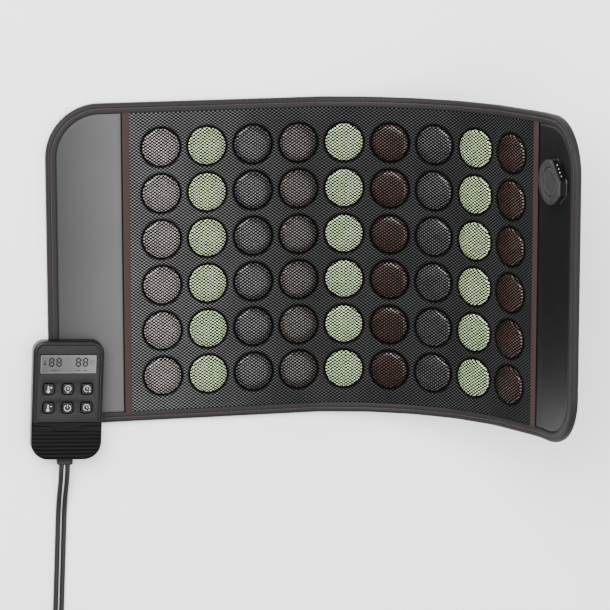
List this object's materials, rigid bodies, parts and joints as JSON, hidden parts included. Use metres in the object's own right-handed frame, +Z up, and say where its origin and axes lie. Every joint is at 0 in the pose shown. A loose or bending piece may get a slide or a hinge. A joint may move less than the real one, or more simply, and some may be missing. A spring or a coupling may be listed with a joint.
{
  "type": "infrared warming mat",
  "caption": "Flexible far-infrared warming mat: rows of stone discs under black mesh between leather end panels, with a magnetic socket and a wired hand controller.",
  "frame": {"origin": "middle of the left end panel's underside, on the floor the mat lies on", "axes": "+X along the mat from the left end panel to the curled right end, +Y across the columns towards the display end of the controller, +Z up"},
  "size_m": [0.6404, 0.6538, 0.2451],
  "materials": {
    "binding_fabric": "matte",
    "black_mesh": "matte",
    "grey_leather": "satin",
    "black_leather": "satin",
    "brown_ribbon": "matte",
    "brown_stone": "satin",
    "green_stone": "satin",
    "grey_stone": "satin",
    "grey_plastic": "satin",
    "dark_plastic": "satin",
    "black_plastic": "satin",
    "display_window": "gloss",
    "display_panel": "satin",
    "board": "satin",
    "black_rubber": "matte",
    "cord_rubber": "satin",
    "steel": "satin"
  },
  "bodies": {
    "panel_left": {"left_pad": "binding_fabric", "left_cover": "grey_leather", "mains_lead": "cord_rubber", "mains_coil": "cord_rubber", "mains_plug": "black_plastic", "mat_lead": "cord_rubber", "mat_coil": "cord_rubber", "magnetic_head": "grey_plastic"},
    "column_1": {"column_pad_1": "binding_fabric", "stone_row_1": "brown_stone", "mesh_strip_1": "black_mesh", "ribbon_left": "brown_ribbon"},
    "column_2": {"column_pad_2": "binding_fabric", "stone_row_2": "green_stone", "mesh_strip_2": "black_mesh"},
    "column_3": {"column_pad_3": "binding_fabric", "stone_row_3": "grey_stone", "mesh_strip_3": "black_mesh"},
    "column_4": {"column_pad_4": "binding_fabric", "stone_row_4": "brown_stone", "mesh_strip_4": "black_mesh"},
    "column_5": {"column_pad_5": "binding_fabric", "stone_row_5": "green_stone", "mesh_strip_5": "black_mesh"},
    "column_6": {"column_pad_6": "binding_fabric", "stone_row_6": "brown_stone", "mesh_strip_6": "black_mesh"},
    "column_7": {"column_pad_7": "binding_fabric", "stone_row_7": "grey_stone", "mesh_strip_7": "black_mesh"},
    "column_8": {"column_pad_8": "binding_fabric", "stone_row_8": "green_stone", "mesh_strip_8": "black_mesh"},
    "column_9": {"column_pad_9": "binding_fabric", "stone_row_9": "brown_stone", "mesh_strip_9": "black_mesh", "ribbon_right": "brown_ribbon"},
    "panel_right": {"right_pad": "binding_fabric", "right_cover": "black_leather", "socket_body": "grey_plastic", "socket_cap": "grey_plastic", "socket_contacts": "steel"},
    "controller": {"rear_case": "dark_plastic", "front_case": "dark_plastic", "grip_cover": "black_plastic", "lcd_window": "display_window", "lcd_panel": "display_panel", "circuit_board": "board", "key_membrane": "black_rubber", "strain_relief": "black_rubber", "case_screw_1": "steel", "case_screw_2": "steel", "case_screw_3": "steel", "case_screw_4": "steel"},
    "key_warmer": {"key_warmer": "black_plastic"},
    "key_cooler": {"key_cooler": "black_plastic"},
    "key_lamp": {"key_lamp": "black_plastic"},
    "key_power": {"key_power": "black_plastic"},
    "key_longer": {"key_longer": "black_plastic"},
    "key_shorter": {"key_shorter": "black_plastic"}
  },
  "joints": [
    {"name": "fold_1", "type": "hinge", "parent": "panel_left", "child": "column_1", "pos_m": [0.041, 0, 0.006], "axis": [0, -1, 0], "range_deg": [0, 25]},
    {"name": "fold_2", "type": "hinge", "parent": "column_1", "child": "column_2", "pos_m": [0.108, 0, 0.006], "axis": [0, -1, 0], "range_deg": [0, 25]},
    {"name": "fold_3", "type": "hinge", "parent": "column_2", "child": "column_3", "pos_m": [0.158, 0, 0.006], "axis": [0, -1, 0], "range_deg": [0, 25]},
    {"name": "fold_4", "type": "hinge", "parent": "column_3", "child": "column_4", "pos_m": [0.208, 0, 0.006], "axis": [0, -1, 0], "range_deg": [0, 25]},
    {"name": "fold_5", "type": "hinge", "parent": "column_4", "child": "column_5", "pos_m": [0.258, 0, 0.006], "axis": [0, -1, 0], "range_deg": [-14, 11]},
    {"name": "fold_6", "type": "hinge", "parent": "column_5", "child": "column_6", "pos_m": [0.30651, 0, 0.0181], "axis": [0, -1, 0], "range_deg": [-11, 14]},
    {"name": "fold_7", "type": "hinge", "parent": "column_6", "child": "column_7", "pos_m": [0.35183, 0, 0.03923], "axis": [0, -1, 0], "range_deg": [-11, 14]},
    {"name": "fold_8", "type": "hinge", "parent": "column_7", "child": "column_8", "pos_m": [0.39228, 0, 0.06862], "axis": [0, -1, 0], "range_deg": [-12.5, 12.5]},
    {"name": "fold_9", "type": "hinge", "parent": "column_8", "child": "column_9", "pos_m": [0.42541, 0, 0.10606], "axis": [0, -1, 0], "range_deg": [-13, 12]},
    {"name": "fold_10", "type": "hinge", "parent": "column_9", "child": "panel_right", "pos_m": [0.45738, 0, 0.16495], "axis": [0, -1, 0], "range_deg": [-15, 10]},
    {"name": "controller_lift", "type": "slide", "parent": "panel_left", "child": "controller", "axis": [0, 0, 1], "range_m": [0, 0.04]},
    {"name": "key_warmer_press", "type": "slide", "parent": "controller", "child": "key_warmer", "axis": [0, 0, -1], "range_m": [0, 0.0008], "stiffness_N_per_m": 400, "springref_m": -0.001},
    {"name": "key_cooler_press", "type": "slide", "parent": "controller", "child": "key_cooler", "axis": [0, 0, -1], "range_m": [0, 0.0008], "stiffness_N_per_m": 400, "springref_m": -0.001},
    {"name": "key_lamp_press", "type": "slide", "parent": "controller", "child": "key_lamp", "axis": [0, 0, -1], "range_m": [0, 0.0008], "stiffness_N_per_m": 400, "springref_m": -0.001},
    {"name": "key_power_press", "type": "slide", "parent": "controller", "child": "key_power", "axis": [0, 0, -1], "range_m": [0, 0.0008], "stiffness_N_per_m": 400, "springref_m": -0.001},
    {"name": "key_longer_press", "type": "slide", "parent": "controller", "child": "key_longer", "axis": [0, 0, -1], "range_m": [0, 0.0008], "stiffness_N_per_m": 400, "springref_m": -0.001},
    {"name": "key_shorter_press", "type": "slide", "parent": "controller", "child": "key_shorter", "axis": [0, 0, -1], "range_m": [0, 0.0008], "stiffness_N_per_m": 400, "springref_m": -0.001}
  ]
}
